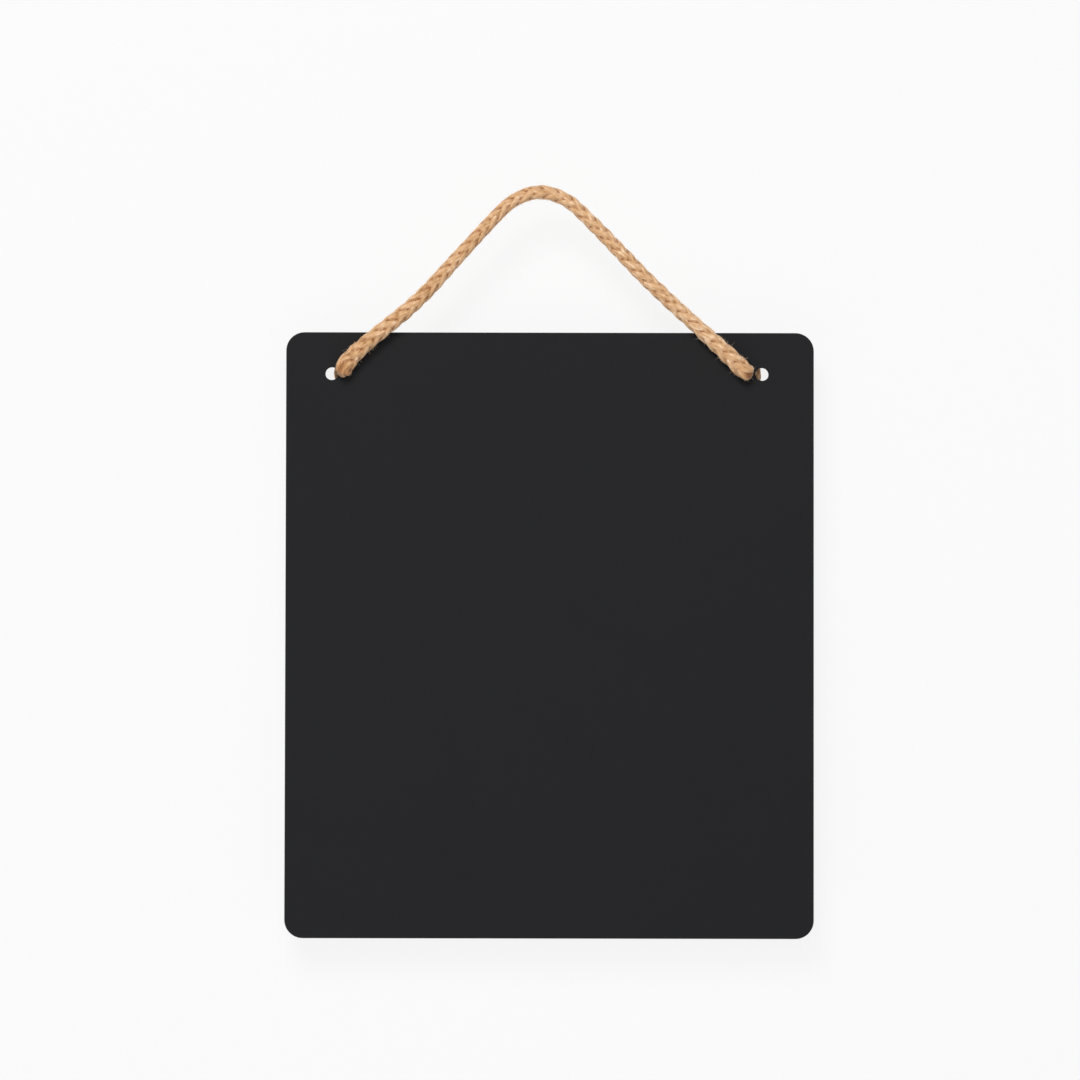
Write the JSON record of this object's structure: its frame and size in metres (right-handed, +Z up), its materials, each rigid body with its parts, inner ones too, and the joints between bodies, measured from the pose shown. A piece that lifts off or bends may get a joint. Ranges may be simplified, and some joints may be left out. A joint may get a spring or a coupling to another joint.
{
  "type": "wall chalkboard",
  "caption": "Thin portrait chalkboard with rounded corners, hung from a loop of thick braided rope that is knotted behind a hole near each top corner; it folds against the loop.",
  "frame": {"origin": "under the top of the rope loop, where a hook or nail carries it, in the middle of the rope's thickness", "axes": "+Z up, the writing face looks towards -Y, +X to the right of someone who reads the board"},
  "size_m": [0.28, 0.0312, 0.3993],
  "materials": {
    "core": "black-dyed fibreboard, sawn and sealed edge",
    "writing_surface": "matt chalk laminate, lightly wiped",
    "rear_surface": "matt black laminate",
    "rope": "braided jute, slightly hairy"
  },
  "bodies": {
    "rope": {"rope_loop": "rope", "left_rope_elbow": "rope", "right_rope_elbow": "rope"},
    "board": {"core_board": "core", "front_writing_sheet": "writing_surface", "rear_sheet": "rear_surface", "left_stopper_knot": "rope", "right_stopper_knot": "rope"}
  },
  "joints": [
    {"name": "board_fold", "type": "hinge", "parent": "rope", "child": "board", "pos_m": [0.0042, 0, -0.0894], "axis": [-1, 0, 0], "range_deg": [0, 170]}
  ]
}
